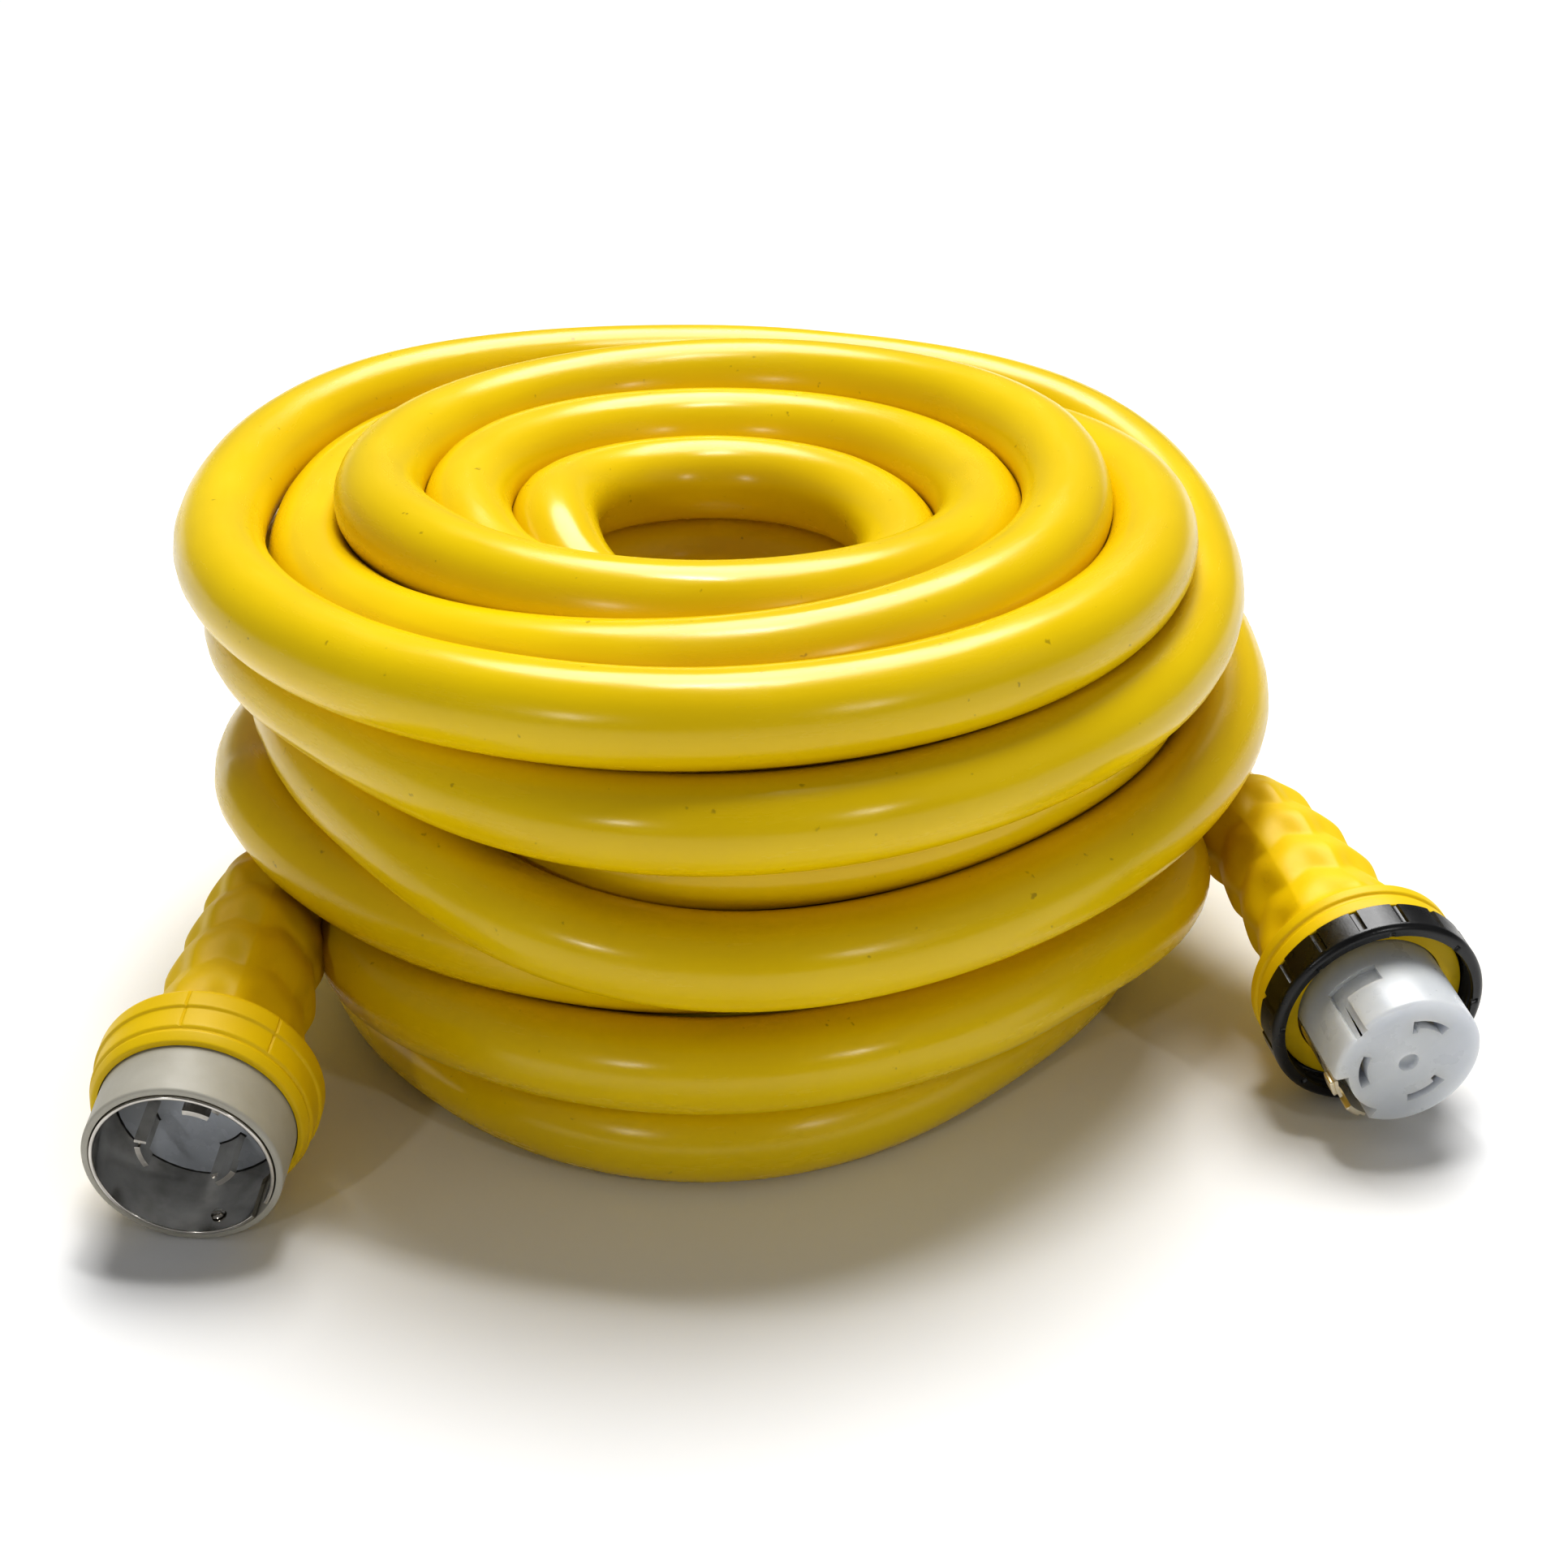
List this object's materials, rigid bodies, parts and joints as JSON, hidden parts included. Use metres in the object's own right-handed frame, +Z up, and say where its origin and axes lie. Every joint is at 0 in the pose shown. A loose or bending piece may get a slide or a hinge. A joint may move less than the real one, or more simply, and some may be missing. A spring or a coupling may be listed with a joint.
{
  "type": "shore power cord",
  "caption": "Heavy yellow power cord wound into a deep round coil, with a shrouded locking plug at one end and a socket with a threaded locking ring at the other.",
  "frame": {"origin": "on the ground, under the centre of the box round the plug and the connector", "axes": "+Z up, +X from the plug towards the connector, +Y from the two ends back towards the coil's centre"},
  "size_m": [0.4094, 0.3543, 0.168],
  "materials": {
    "cable_jacket": "glossy, lightly scuffed",
    "boot": "satin moulded vinyl",
    "plug_sleeve": "matt",
    "nickel_plate": "polished nickel plate",
    "plug_core": "satin",
    "locking_ring": "satin",
    "connector_nose": "milky, slightly translucent nylon",
    "brass": "bright",
    "copper": "bright copper",
    "steel": "zinc plated",
    "wire_hot_1": "smooth",
    "wire_hot_2": "smooth",
    "wire_neutral": "smooth",
    "wire_ground": "smooth"
  },
  "bodies": {
    "cord": {"cable_coil": "cable_jacket", "cable_tail_plug": "cable_jacket", "cable_tail_connector": "cable_jacket", "plug_boot": "boot", "plug_sleeve": "plug_sleeve", "plug_ground_shell": "nickel_plate", "plug_shell_rivet": "nickel_plate", "plug_core": "plug_core", "plug_blade_hot_1": "nickel_plate", "plug_blade_hot_2": "nickel_plate", "plug_blade_neutral": "nickel_plate", "plug_ground_strap": "brass", "plug_crimp_hot_1": "copper", "plug_crimp_hot_2": "copper", "plug_crimp_neutral": "copper", "plug_crimp_ground": "copper", "plug_wire_hot_1": "wire_hot_1", "plug_wire_hot_2": "wire_hot_2", "plug_wire_neutral": "wire_neutral", "plug_wire_ground": "wire_ground", "plug_cable_end": "cable_jacket", "connector_boot": "boot", "connector_nose": "connector_nose", "connector_contact_hot_1": "brass", "connector_contact_hot_2": "brass", "connector_contact_neutral": "brass", "connector_back_plate": "connector_nose", "connector_core_screw_1": "steel", "connector_core_screw_2": "steel", "connector_crimp_hot_1": "copper", "connector_crimp_hot_2": "copper", "connector_crimp_neutral": "copper", "connector_crimp_ground": "copper", "connector_wire_hot_1": "wire_hot_1", "connector_wire_hot_2": "wire_hot_2", "connector_wire_neutral": "wire_neutral", "connector_wire_ground": "wire_ground", "connector_cable_end": "cable_jacket"},
    "ring": {"locking_ring": "locking_ring"},
    "clip": {"ground_clip": "brass"}
  },
  "joints": [
    {"name": "ring_turn", "type": "hinge", "parent": "cord", "child": "ring", "pos_m": [0.17088, -0.00966, 0.03392], "axis": [0.2222, -0.9624, -0.1564], "continuous": true},
    {"name": "clip_flex", "type": "hinge", "parent": "cord", "child": "clip", "pos_m": [0.1521, -0.00573, 0.02142], "axis": [-0.5722, -0.2586, 0.7783], "range_deg": [0, 1.8], "stiffness_Nm_per_rad": 6}
  ]
}
